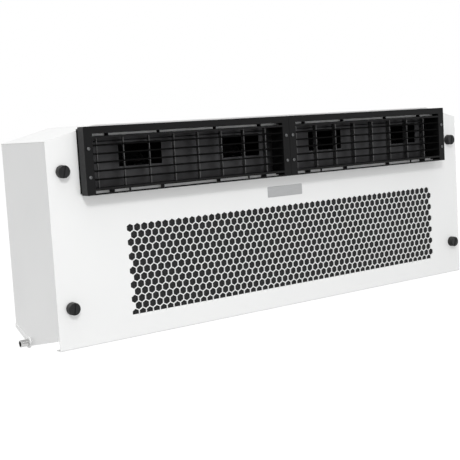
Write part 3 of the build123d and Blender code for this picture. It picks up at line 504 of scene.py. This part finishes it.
# Vents: two black plastic bezels, each with a cassette for five horizontal vanes and eight
# upright blades on a tie bar. The plastic has a fine moulded grain and a film of dust on what
# faces up. Rounded edges and outer end faces are painted lighter, a painted highlight, and the
# collar against the panel is a dull black that stands for the shade in that recess.
plastic_black = (0.003, 0.003, 0.0032, 1)
plastic_patch = (0.005, 0.005, 0.0053, 1)
plastic_highlight_grey = (0.018, 0.018, 0.019, 1)
plastic_dust = (0.16, 0.157, 0.15, 1)
plastic, tree, shader = start_material(
    "black_moulded_plastic", Roughness=0.5, Specular_IOR_Level=0.14
)
patches = place_group(
    tree, mottle, {"Colour": plastic_black, "Patch Colour": plastic_patch, "Scale": 35.0}
)
film = place_group(
    tree,
    dust,
    {"Colour": patches.outputs["Colour"], "Dust Colour": plastic_dust, "Amount": 0.15},
)
tree.links.new(film.outputs["Colour"], shader.inputs["Base Color"])
vary_roughness(tree, shader, patches.outputs["Mask"], 0.45, 0.58)
moulded = place_group(tree, grain, {"Scale": 2200.0})
add_relief(tree, shader, moulded.outputs["Height"], 0.00005, 0.6)

# Rounded edges and outer end faces of the bezels: the black is lightened in patches, a painted
# highlight.
plastic_highlight, tree, shader = start_material(
    "black_plastic_painted_highlight", Roughness=0.32, Specular_IOR_Level=0.14
)
patches = place_group(
    tree, mottle, {"Colour": plastic_black, "Patch Colour": plastic_highlight_grey, "Scale": 180.0}
)
tree.links.new(patches.outputs["Colour"], shader.inputs["Base Color"])

# A dull black with hardly any reflection. On the collar faces against the panel it is painted
# shade, standing for the dark of that recess; the vanes get it as a plain dull black.
collar_shade_black = (0.003, 0.003, 0.003, 1)
collar_shade_patch = (0.005, 0.005, 0.005, 1)
dull_plastic_and_collar_shade, tree, shader = start_material(
    "dull_black_plastic_and_collar_shade", Roughness=0.8, Specular_IOR_Level=0.02
)
patches = place_group(
    tree, mottle, {"Colour": collar_shade_black, "Patch Colour": collar_shade_patch, "Scale": 60.0}
)
tree.links.new(patches.outputs["Colour"], shader.inputs["Base Color"])

mould_round = 0.0004
vents = rounded_copy(
    "vent_bezels",
    "vent_frames",
    mould_round,
    [plastic, plastic_highlight],
    sharper_than=60,
)
panel_face = -0.1786
vent_collar_depth = 0.0069
vent_centres = (-0.2215, 0.2115)
vents_middle = sum(vent_centres) / 2
end_reach = 0.43
vents.data.materials.append(dull_plastic_and_collar_shade)
# Faces within the collar's depth take the dull black, painted shade in the recess; the bezels'
# outer end faces take the painted highlight.
for face in vents.data.polygons:
    if panel_face - vent_collar_depth < face.center.y < panel_face:
        face.material_index = 2
    elif abs(face.normal.x) > 0.9 and abs(face.center.x - vents_middle) > end_reach:
        face.material_index = 1

# The black blades are painted a mid grey, a painted highlight that stands for the light their
# front edges catch.
blade_highlight_grey = (0.105, 0.105, 0.107, 1)
blade_highlight_patch = (0.135, 0.135, 0.137, 1)
blade_highlight_plastic, tree, shader = start_material(
    "black_blade_plastic_painted_highlight", Roughness=0.3, Specular_IOR_Level=0.6
)
patches = place_group(
    tree, mottle, {"Colour": blade_highlight_grey, "Patch Colour": blade_highlight_patch, "Scale": 90.0}
)
tree.links.new(patches.outputs["Colour"], shader.inputs["Base Color"])
vary_roughness(tree, shader, patches.outputs["Mask"], 0.26, 0.36)
vanes_each = 5
blades_each = 8
for side in ("left", "right"):
    paint(dull_plastic_and_collar_shade, *[f"vane_{side}_{number + 1}" for number in range(vanes_each)])
    paint(blade_highlight_plastic, *[f"blade_{side}_{number + 1}" for number in range(blades_each)])
    paint(plastic, f"tie_bar_{side}")

# Vent screws: eight small zinc-plated pan heads with a cross recess. Two at each end of each
# vent are driven through the bezel into the panel.
# The zinc is painted a dark grey, painted shade that stands for dim reflections in the heads; the
# duller patches vary at random.
zinc_shaded_grey = (0.20, 0.203, 0.206, 1)
zinc_dulled_shaded = (0.11, 0.112, 0.114, 1)
zinc, tree, shader = start_material("zinc_plated_screw", Metallic=1.0)
patches = place_group(
    tree, mottle, {"Colour": zinc_shaded_grey, "Patch Colour": zinc_dulled_shaded, "Scale": 300.0}
)
tree.links.new(patches.outputs["Colour"], shader.inputs["Base Color"])
vary_roughness(tree, shader, patches.outputs["Mask"], 0.22, 0.38)

head_radius = 0.0029
head_height = 0.0019
head_round = 0.0012
shank_radius = 0.002
shank_tip = 0.0009
recess_reach = 0.0017
recess_width = 0.0009
recess_depth = 0.0011
recess_cut = 2 * recess_depth
low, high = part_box("vent_screws")


def add_bar(name, centre, size):
    """A plain bar, a tool for cutting a slot."""
    bpy.ops.object.select_all(action="DESELECT")
    bpy.ops.mesh.primitive_cube_add(size=1, location=centre)
    bar = bpy.context.object
    bar.name = name
    bar.scale = size
    bpy.ops.object.transform_apply(location=True, rotation=True, scale=True)
    return bar


def cut(piece, tool):
    """Cut a tool's shape out of a piece, and put the tool away."""
    work_on(piece)
    slot_cut = piece.modifiers.new("cut", "BOOLEAN")
    slot_cut.operation = "DIFFERENCE"
    slot_cut.object = tool
    bpy.ops.object.modifier_apply(modifier="cut")
    bpy.data.objects.remove(tool)


bpy.ops.object.select_all(action="DESELECT")
head_middle = low.y + head_height / 2
bpy.ops.mesh.primitive_cylinder_add(
    vertices=32,
    radius=head_radius,
    depth=head_height,
    location=(0, head_middle, 0),
    rotation=(math.radians(90), 0, 0),
)
screw = bpy.context.object
bpy.ops.object.transform_apply(location=True, rotation=True, scale=True)
bpy.ops.object.mode_set(mode="EDIT")
select_edges(
    screw, lambda edge: all(abs(end.co.y - low.y) < same_point for end in edge.verts)
)
bpy.ops.mesh.bevel(offset=head_round, segments=5)
bpy.ops.object.mode_set(mode="OBJECT")
for size in (
    (2 * recess_reach, recess_cut, recess_width),
    (recess_width, recess_cut, 2 * recess_reach),
):
    cut(screw, add_bar("recess", (0, low.y, 0), size))
bpy.ops.object.select_all(action="DESELECT")
shank_length = high.y - low.y - head_height
bpy.ops.mesh.primitive_cylinder_add(
    vertices=24,
    radius=shank_radius,
    depth=shank_length,
    location=(0, high.y - shank_length / 2, 0),
    rotation=(math.radians(90), 0, 0),
)
shank = bpy.context.object
bpy.ops.object.transform_apply(location=True, rotation=True, scale=True)
bpy.ops.object.mode_set(mode="EDIT")
select_faces(shank, lambda face: face.normal.y > 0.9)
bpy.ops.mesh.inset(thickness=shank_tip, depth=0.0)
bpy.ops.object.mode_set(mode="OBJECT")
screw_offset = 0.2085
screw_level = 0.1224
screw_spread = 0.0235
screw_turn = 0.9
screws = []
for centre in vent_centres:
    for x in (centre - screw_offset, centre + screw_offset):
        for z in (screw_level - screw_spread, screw_level + screw_spread):
            for part in (screw, shank):
                copy = bpy.data.objects.new("screw", part.data.copy())
                bpy.context.scene.collection.objects.link(copy)
                copy.location = (x, 0, z)
                if part is screw:
                    copy.rotation_euler.y = screw_turn * len(screws)
                screws.append(copy)
for part in (screw, shank):
    bpy.data.objects.remove(part)
bpy.ops.object.select_all(action="DESELECT")
for copy in screws:
    copy.select_set(True)
bpy.context.view_layer.objects.active = screws[0]
bpy.ops.object.transform_apply(location=True, rotation=True, scale=True)
bpy.ops.object.join()
screw_set = bpy.context.object
screw_set.name = "pan_head_screws"
screw_set.data.materials.append(zinc)
bpy.ops.object.shade_smooth_by_angle(angle=math.radians(35))
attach(screw_set, "removable_panel")
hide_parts("vent_screws")

# Thumbscrews: four quarter-turn fasteners with a knurled black knob and one slot for a coin,
# on a short stud that a collar keeps in the panel.
knob_black = (0.010, 0.010, 0.0105, 1)
knob_patch = (0.018, 0.018, 0.019, 1)
knob_plastic, tree, shader = start_material(
    "knob_plastic", Roughness=0.5, Specular_IOR_Level=0.2
)
patches = place_group(
    tree, mottle, {"Colour": knob_black, "Patch Colour": knob_patch, "Scale": 220.0}
)
film = place_group(tree, dust, {"Colour": patches.outputs["Colour"], "Amount": 0.3})
tree.links.new(film.outputs["Colour"], shader.inputs["Base Color"])
vary_roughness(tree, shader, patches.outputs["Mask"], 0.40, 0.55)
moulded = place_group(tree, grain, {"Scale": 1800.0})
add_relief(tree, shader, moulded.outputs["Height"], 0.00006, 0.7)

knob_radius = 0.0106
knob_height = 0.012
knob_round = 0.00018
knurls = 40
points_per_knurl = 3
knurl_depth = 0.0004
rim_slack = 1e-5
rim_chamfer = 0.0008
rim_width = 0.0013
face_dish = 0.0003
slot_width = 0.0022
slot_depth = 0.0018
slot_tool_length = 2.4 * knob_radius
stud_radius = 0.00375
stud_overlap = 0.0005
panel_gap = 0.0003
collar_radius = 0.0055
collar_depth = 0.0019
collar_thickness = 0.001
turned_chamfer = 0.0003
slot_angles = {"upper_left": 15, "lower_left": 8, "upper_right": 12, "lower_right": 20}
for corner, slot_angle in slot_angles.items():
    node = f"thumbscrew_{corner}"
    low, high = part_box(node)
    x, z = (low.x + high.x) / 2, (low.z + high.z) / 2
    seat = low.y + knob_height
    collar_start = seat + panel_gap + collar_depth
    bpy.ops.object.select_all(action="DESELECT")
    bpy.ops.mesh.primitive_cylinder_add(
        vertices=points_per_knurl * knurls,
        radius=knob_radius,
        depth=knob_height - rim_chamfer,
        location=(x, seat - (knob_height - rim_chamfer) / 2, z),
        rotation=(math.radians(90), 0, 0),
    )
    knob = bpy.context.object
    knob.name = f"knob_{corner}"
    bpy.ops.object.transform_apply(location=True, rotation=True, scale=True)
    bpy.ops.object.mode_set(mode="EDIT")
    select_faces(knob, lambda face: face.normal.y < -0.9)
    bpy.ops.mesh.inset(thickness=rim_chamfer, depth=rim_chamfer)
    bpy.ops.mesh.inset(thickness=rim_width, depth=0.0)
    bpy.ops.mesh.inset(thickness=rim_chamfer, depth=-face_dish)
    mesh = bmesh.from_edit_mesh(knob.data)
    centre = Vector((x, 0, z))
    for vertex in mesh.verts:
        arm = Vector((vertex.co.x, 0, vertex.co.z)) - centre
        turn = round(math.atan2(arm.z, arm.x) / (2 * math.pi) * points_per_knurl * knurls)
        if arm.length > knob_radius - rim_slack and turn % points_per_knurl == 0:
            vertex.co -= arm.normalized() * knurl_depth
    bmesh.update_edit_mesh(knob.data)
    bpy.ops.object.mode_set(mode="OBJECT")
    bar = add_bar(
        "slot_tool", (0, 0, 0), (slot_width, 2 * slot_depth + face_dish, slot_tool_length)
    )
    bar.location = (x, low.y, z)
    bar.rotation_euler.y = math.radians(slot_angle)
    bpy.context.view_layer.update()
    cut(knob, bar)
    bevel = knob.modifiers.new("rounding", "BEVEL")
    bevel.width = knob_round
    bevel.segments = 2
    bevel.angle_limit = math.radians(40)
    bpy.ops.object.modifier_apply(modifier="rounding")
    parts = [knob]
    for radius, start, end in (
        (stud_radius, seat - stud_overlap, high.y),
        (collar_radius, collar_start, collar_start + collar_thickness),
    ):
        bpy.ops.object.select_all(action="DESELECT")
        bpy.ops.mesh.primitive_cylinder_add(
            vertices=48,
            radius=radius,
            depth=end - start,
            location=(x, (start + end) / 2, z),
            rotation=(math.radians(90), 0, 0),
        )
        turned = bpy.context.object
        bpy.ops.object.mode_set(mode="EDIT")
        select_faces(turned, lambda face: len(face.verts) > 4)
        bpy.ops.mesh.bevel(offset=turned_chamfer, segments=2)
        bpy.ops.object.mode_set(mode="OBJECT")
        bpy.ops.object.transform_apply(location=True, rotation=True, scale=True)
        parts.append(turned)
    bpy.ops.object.select_all(action="DESELECT")
    for part in parts:
        part.select_set(True)
    bpy.context.view_layer.objects.active = knob
    bpy.ops.object.join()
    knob.data.materials.clear()
    knob.data.materials.append(knob_plastic)
    bpy.ops.object.shade_smooth_by_angle(angle=math.radians(30))
    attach(knob, node)
    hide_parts(node)

# Blower deck in a flat dark grey, painted shade for the darkness inside the vents, and coil end
# plates, motor cradles and fastener receptacles in bare galvanised steel, grey with a faint
# spangle.
zinc_shadow = (0.17, 0.174, 0.178, 1)
zinc_light = (0.25, 0.254, 0.258, 1)
galvanised, tree, shader = start_material("galvanised_steel", Metallic=0.5)
place = add_node(tree, "ShaderNodeTexCoord")
crystals = add_node(
    tree, "ShaderNodeTexVoronoi", {"Vector": place.outputs["Object"], "Scale": 110.0}
)
tone = add_node(tree, "ShaderNodeSeparateColor", {"Color": crystals.outputs["Color"]})
spangle = add_node(
    tree,
    "ShaderNodeMix",
    {"Factor": tone.outputs["Red"], 6: zinc_shadow, 7: zinc_light},
    data_type="RGBA",
)
film = place_group(tree, dust, {"Colour": spangle.outputs[2], "Amount": 0.3})
tree.links.new(film.outputs["Colour"], shader.inputs["Base Color"])
vary_roughness(tree, shader, tone.outputs["Green"], 0.36, 0.55)
paint(galvanised, "coil_end_plates", "motor_cradles", "panel_receptacles")

# The deck's dark grey is painted shade, standing for the darkness seen through the vents.
deck_shade_grey = (0.090, 0.090, 0.093, 1)
deck_shade_patch = (0.055, 0.055, 0.057, 1)
deck_shade_paint, tree, shader = start_material(
    "dark_primed_steel", Roughness=0.6, Specular_IOR_Level=0.3
)
patches = place_group(
    tree, mottle, {"Colour": deck_shade_grey, "Patch Colour": deck_shade_patch, "Scale": 30.0}
)
film = place_group(tree, dust, {"Colour": patches.outputs["Colour"], "Amount": 0.3})
tree.links.new(film.outputs["Colour"], shader.inputs["Base Color"])
vary_roughness(tree, shader, patches.outputs["Mask"], 0.52, 0.70)
paint(deck_shade_paint, "blower_deck")

# Blowers: black plastic scrolls and wheels behind the deck, and motors in dark enamel. The
# block where their supply ends is moulded in the same black plastic.
paint(plastic, "blower_scrolls", "rotor_left", "rotor_right", "terminal_block")
enamel_grey = (0.035, 0.037, 0.04, 1)
enamel_patch = (0.055, 0.057, 0.06, 1)
enamel, tree, shader = start_material("motor_enamel", Roughness=0.35, Coat_Weight=0.3)
patches = place_group(
    tree, mottle, {"Colour": enamel_grey, "Patch Colour": enamel_patch, "Scale": 60.0}
)
film = place_group(tree, dust, {"Colour": patches.outputs["Colour"], "Amount": 0.4})
tree.links.new(film.outputs["Colour"], shader.inputs["Base Color"])
peel = place_group(tree, grain, {"Scale": 500.0})
add_relief(tree, shader, peel.outputs["Height"], 0.00008, 0.5)
paint(enamel, "blower_motors")

# Coil: a stack of thin rippled aluminium fins on copper tubes. The fins stand a little over
# two millimetres apart.
fin_bright = (0.70, 0.71, 0.72, 1)
fin_dull = (0.58, 0.59, 0.60, 1)
fin_metal, tree, shader = start_material("fin_aluminium", Metallic=0.9)
patches = place_group(
    tree, mottle, {"Colour": fin_bright, "Patch Colour": fin_dull, "Scale": 25.0}
)
tree.links.new(patches.outputs["Colour"], shader.inputs["Base Color"])
vary_roughness(tree, shader, patches.outputs["Mask"], 0.32, 0.50)

low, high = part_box("coil_fins")
fin_thickness = 0.00016
fin_spacing = 0.0021
ripple = 0.00035
ripples = 12
bpy.ops.object.select_all(action="DESELECT")
bpy.ops.mesh.primitive_grid_add(
    x_subdivisions=ripples, y_subdivisions=1, size=1, location=(0, 0, 0)
)
fins = bpy.context.object
fins.name = "fin_stack"
margin = ripple + fin_thickness
for vertex in fins.data.vertices:
    across, along = vertex.co.x, vertex.co.y
    fold = round((across + 0.5) * ripples) % 2
    vertex.co = (
        low.x + margin + (fold - 0.5) * ripple,
        low.y + (across + 0.5) * (high.y - low.y),
        low.z + (along + 0.5) * (high.z - low.z),
    )
thicken = fins.modifiers.new("thickness", "SOLIDIFY")
thicken.thickness = fin_thickness
thicken.offset = 0
bpy.ops.object.modifier_apply(modifier="thickness")
stack = fins.modifiers.new("stack", "ARRAY")
stack.use_relative_offset = False
stack.use_constant_offset = True
stack.count = round((high.x - low.x) / fin_spacing)
stack.constant_offset_displace = ((high.x - low.x - 2 * margin) / (stack.count - 1), 0, 0)
bpy.ops.object.modifier_apply(modifier="stack")
fins.data.materials.append(fin_metal)
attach(fins, "housing")
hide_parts("coil_fins")

# Refrigerant pipework: copper tubes, suction header and liquid line, a brass distributor and
# a brass expansion valve. The copper has dulled in patches.
copper_bright = (0.60, 0.27, 0.16, 1)
copper_dull = (0.36, 0.17, 0.11, 1)
copper, tree, shader = start_material("copper", Metallic=1.0)
patches = place_group(
    tree, mottle, {"Colour": copper_bright, "Patch Colour": copper_dull, "Scale": 70.0}
)
tree.links.new(patches.outputs["Colour"], shader.inputs["Base Color"])
vary_roughness(tree, shader, patches.outputs["Mask"], 0.24, 0.46)
paint(copper, "coil_tubes", "suction_header", "liquid_line")

brass_bright = (0.66, 0.48, 0.20, 1)
brass_dull = (0.48, 0.34, 0.15, 1)
brass, tree, shader = start_material("brass", Metallic=1.0)
patches = place_group(
    tree, mottle, {"Colour": brass_bright, "Patch Colour": brass_dull, "Scale": 90.0}
)
tree.links.new(patches.outputs["Colour"], shader.inputs["Base Color"])
vary_roughness(tree, shader, patches.outputs["Mask"], 0.25, 0.42)
paint(brass, "distributor", "expansion_valve")

# Drain stub: a short bright metal tube with drawn lines along it. Its shank is turned down and
# fixed in the boss on the pan's left end.
tube_dark = (0.42, 0.42, 0.42, 1)
tube_light = (0.62, 0.62, 0.61, 1)
tube_round = 0.0003
stub_metal, tree, shader = start_material("tube_metal", Metallic=1.0)
place = add_node(tree, "ShaderNodeTexCoord")
stretch = add_node(
    tree,
    "ShaderNodeMapping",
    {"Vector": place.outputs["Object"], "Scale": (2200.0, 120.0, 120.0)},
)
lines = add_node(
    tree, "ShaderNodeTexNoise", {"Vector": stretch.outputs["Vector"], "Scale": 1.0, "Detail": 3.0}
)
shine = add_node(
    tree,
    "ShaderNodeMix",
    {"Factor": lines.outputs["Fac"], 6: tube_dark, 7: tube_light},
    data_type="RGBA",
)
tree.links.new(shine.outputs[2], shader.inputs["Base Color"])
vary_roughness(tree, shader, lines.outputs["Fac"], 0.18, 0.36)
rounded_copy("drain_tube", "drain_stub", tube_round, [stub_metal], segments=3)

# Grommets: soft black rubber rings, pressed into the back panel's three holes where the two
# refrigerant lines and the supply cable pass.
rubber_black = (0.020, 0.020, 0.020, 1)
rubber_bloom = (0.032, 0.031, 0.030, 1)
rubber, tree, shader = start_material("rubber", Roughness=0.8)
patches = place_group(
    tree, mottle, {"Colour": rubber_black, "Patch Colour": rubber_bloom, "Scale": 90.0}
)
film = place_group(tree, dust, {"Colour": patches.outputs["Colour"], "Amount": 0.35})
tree.links.new(film.outputs["Colour"], shader.inputs["Base Color"])
paint(rubber, "line_grommets")

# Light and floor: a soft lamp above on the left, a large low one in front that thins the
# shadows, a weak one at the left side and a wide one on top, in an even pale room. The low one
# is kept out of reflections. The white floor lies well below the unit and takes its shadow.
lamps = {
    "key": ((-1.4, -2.4, 1.7), 0.5, 34),
    "low": ((-0.4, -4.4, -0.7), 2.4, 95),
    "side": ((-2.2, 1.6, -0.7), 1.4, 13),
    "top": ((-0.4, -0.4, 3.2), 2.2, 32),
}
for name, (spot, size, power) in lamps.items():
    lamp = bpy.data.lights.new(name, "AREA")
    lamp.size = size
    lamp.energy = power
    stand = bpy.data.objects.new(name, lamp)
    stand.location = spot
    stand.rotation_euler = (-Vector(spot)).to_track_quat("-Z", "Y").to_euler()
    stand.visible_glossy = name != "low"
    bpy.context.scene.collection.objects.link(stand)



def mix_for_rays(tree, lighting, seen):
    """Show one shader to the camera, to mirrors and through glass, and light with another."""
    rays = add_node(tree, "ShaderNodeLightPath")
    camera_or_mirror = add_node(
        tree,
        "ShaderNodeMath",
        {0: rays.outputs["Is Camera Ray"], 1: rays.outputs["Is Glossy Ray"]},
        operation="ADD",
    )
    any_sight = add_node(
        tree,
        "ShaderNodeMath",
        {0: camera_or_mirror.outputs[0], 1: rays.outputs["Is Transmission Ray"]},
        operation="ADD",
        use_clamp=True,
    )
    return add_node(
        tree,
        "ShaderNodeMixShader",
        {0: any_sight.outputs[0], 1: lighting.outputs[0], 2: seen.outputs[0]},
    )


pure_white = (1, 1, 1, 1)
room_light = 0.65
room = bpy.data.worlds.new("room")
room.use_nodes = True
tree = room.node_tree
tree.nodes.clear()
even = add_node(tree, "ShaderNodeBackground", {"Color": pure_white, "Strength": room_light})
white = add_node(tree, "ShaderNodeBackground", {"Color": pure_white, "Strength": 1.0})
either = mix_for_rays(tree, even, white)
add_node(tree, "ShaderNodeOutputWorld", {"Surface": either.outputs[0]})
bpy.context.scene.world = room

floor_level = -1.0
floor_size = 200
floor_matt = (0.4, 0.4, 0.4, 1)
floor_faint = (0.3, 0.3, 0.3, 1)
floor_glow = 0.86
bpy.ops.object.select_all(action="DESELECT")
bpy.ops.mesh.primitive_plane_add(size=floor_size, location=(0, 0, floor_level))
floor = bpy.context.object
floor.name = "floor"
floor_white = bpy.data.materials.new("floor_white")
floor_white.use_nodes = True
tree = floor_white.node_tree
tree.nodes.clear()
matt = add_node(tree, "ShaderNodeBsdfDiffuse", {"Color": floor_matt})
faint = add_node(tree, "ShaderNodeBsdfDiffuse", {"Color": floor_faint})
glow = add_node(tree, "ShaderNodeEmission", {"Color": pure_white, "Strength": floor_glow})
bright = add_node(tree, "ShaderNodeAddShader", {0: faint.outputs[0], 1: glow.outputs[0]})
either = mix_for_rays(tree, matt, bright)
add_node(tree, "ShaderNodeOutputMaterial", {"Surface": either.outputs[0]})
floor.data.materials.append(floor_white)
